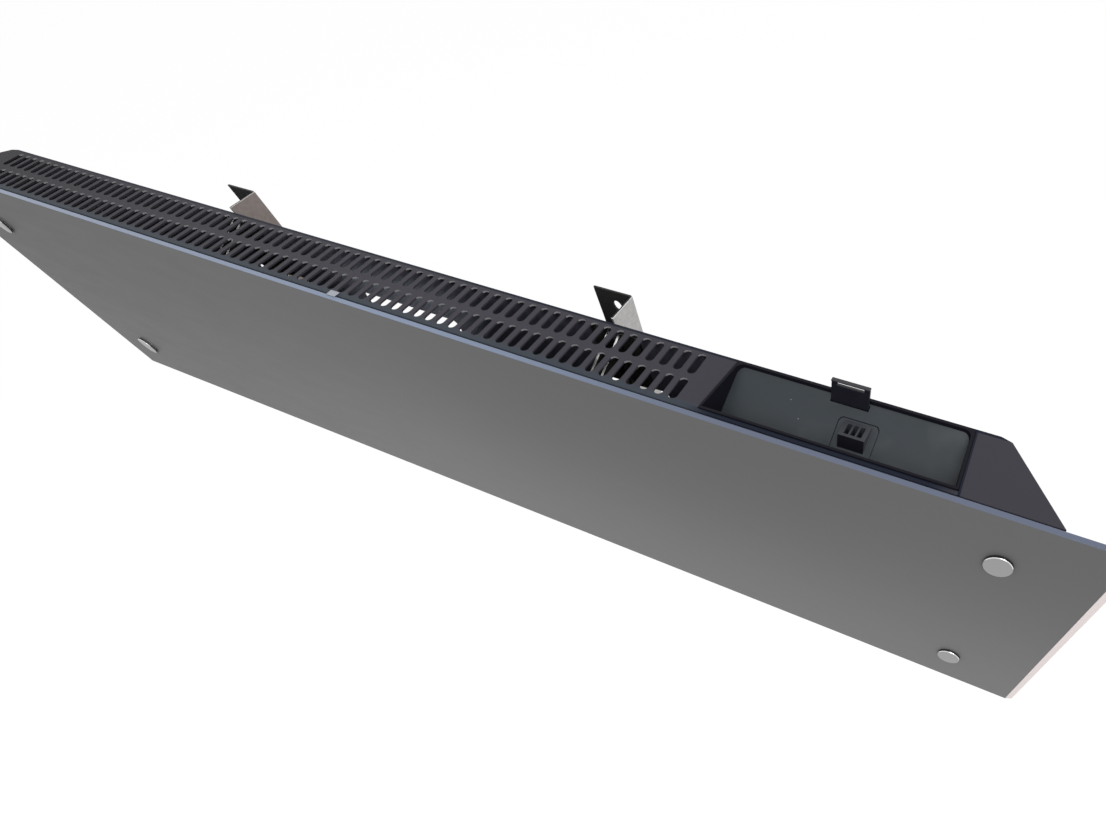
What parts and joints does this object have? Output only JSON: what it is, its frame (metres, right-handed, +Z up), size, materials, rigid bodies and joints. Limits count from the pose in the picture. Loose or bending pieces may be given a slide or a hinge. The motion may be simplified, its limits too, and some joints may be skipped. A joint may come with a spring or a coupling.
{
  "type": "glass panel heater",
  "caption": "Low wall-hung electric panel heater: flat grey glass front on disc caps, flared charcoal casing with slotted top grille, open control bay and wall brackets.",
  "frame": {"origin": "centre of the four wall-fixing holes, on the wall plane", "axes": "+X along the heater towards the control bay, +Y out of the back into the wall, +Z up"},
  "size_m": [1.068, 0.0806, 0.211],
  "materials": {
    "casing_paint": "fine-textured charcoal powder coat",
    "front_glass": "flat glass, grey paint on its back",
    "zinc_plate": "zinc-plated sheet steel",
    "satin_steel": "satin",
    "rod_steel": "dull sheathed rod",
    "element_aluminium": "plain extruded",
    "black_plastic": "smooth black",
    "grey_plastic": "dark grey",
    "nylon": "natural",
    "foam_rubber": "soft black",
    "contact_brass": "plain",
    "ceramic": "unglazed",
    "brown_sleeve": "wire sleeve",
    "blue_sleeve": "wire sleeve",
    "green_sleeve": "wire sleeve"
  },
  "bodies": {
    "wall_brackets": {"wall_bracket_left": "zinc_plate", "wall_bracket_right": "zinc_plate"},
    "heater": {"casing_wrap": "casing_paint", "bottom_grille": "casing_paint", "rear_panel": "casing_paint", "front_plate": "casing_paint", "glass_panel": "front_glass", "disc_caps": "satin_steel", "cap_bushes": "nylon", "glass_studs": "zinc_plate", "stud_nuts": "zinc_plate", "glass_pads": "foam_rubber", "glass_top_clip": "satin_steel", "control_tray": "black_plastic", "control_socket": "grey_plastic", "socket_contacts": "contact_brass", "hanger_bracket_left": "zinc_plate", "hanger_bracket_right": "zinc_plate", "hook_pins": "satin_steel", "rear_buffers": "foam_rubber", "element_fins": "element_aluminium", "element_rod": "rod_steel", "element_bushes": "ceramic", "element_support": "zinc_plate", "partition_plate": "zinc_plate", "heat_shield": "element_aluminium", "thermal_cutout": "black_plastic", "terminal_block": "nylon", "earth_screw": "contact_brass", "cable_gland": "black_plastic", "wire_live": "brown_sleeve", "wire_neutral": "blue_sleeve", "wire_earth": "green_sleeve", "rear_screws": "zinc_plate", "front_rivets": "zinc_plate", "bottom_screws": "zinc_plate"},
    "latch": {"latch_tab": "black_plastic"}
  },
  "joints": [
    {"name": "lift_off", "type": "slide", "parent": "wall_brackets", "child": "heater", "axis": [0, 0, 1], "range_m": [0, 0.014]},
    {"name": "latch_flex", "type": "hinge", "parent": "heater", "child": "latch", "pos_m": [0.362, -0.0305, 0.06786], "axis": [-1, 0, 0], "range_deg": [0, 8], "stiffness_Nm_per_rad": 0.5}
  ]
}
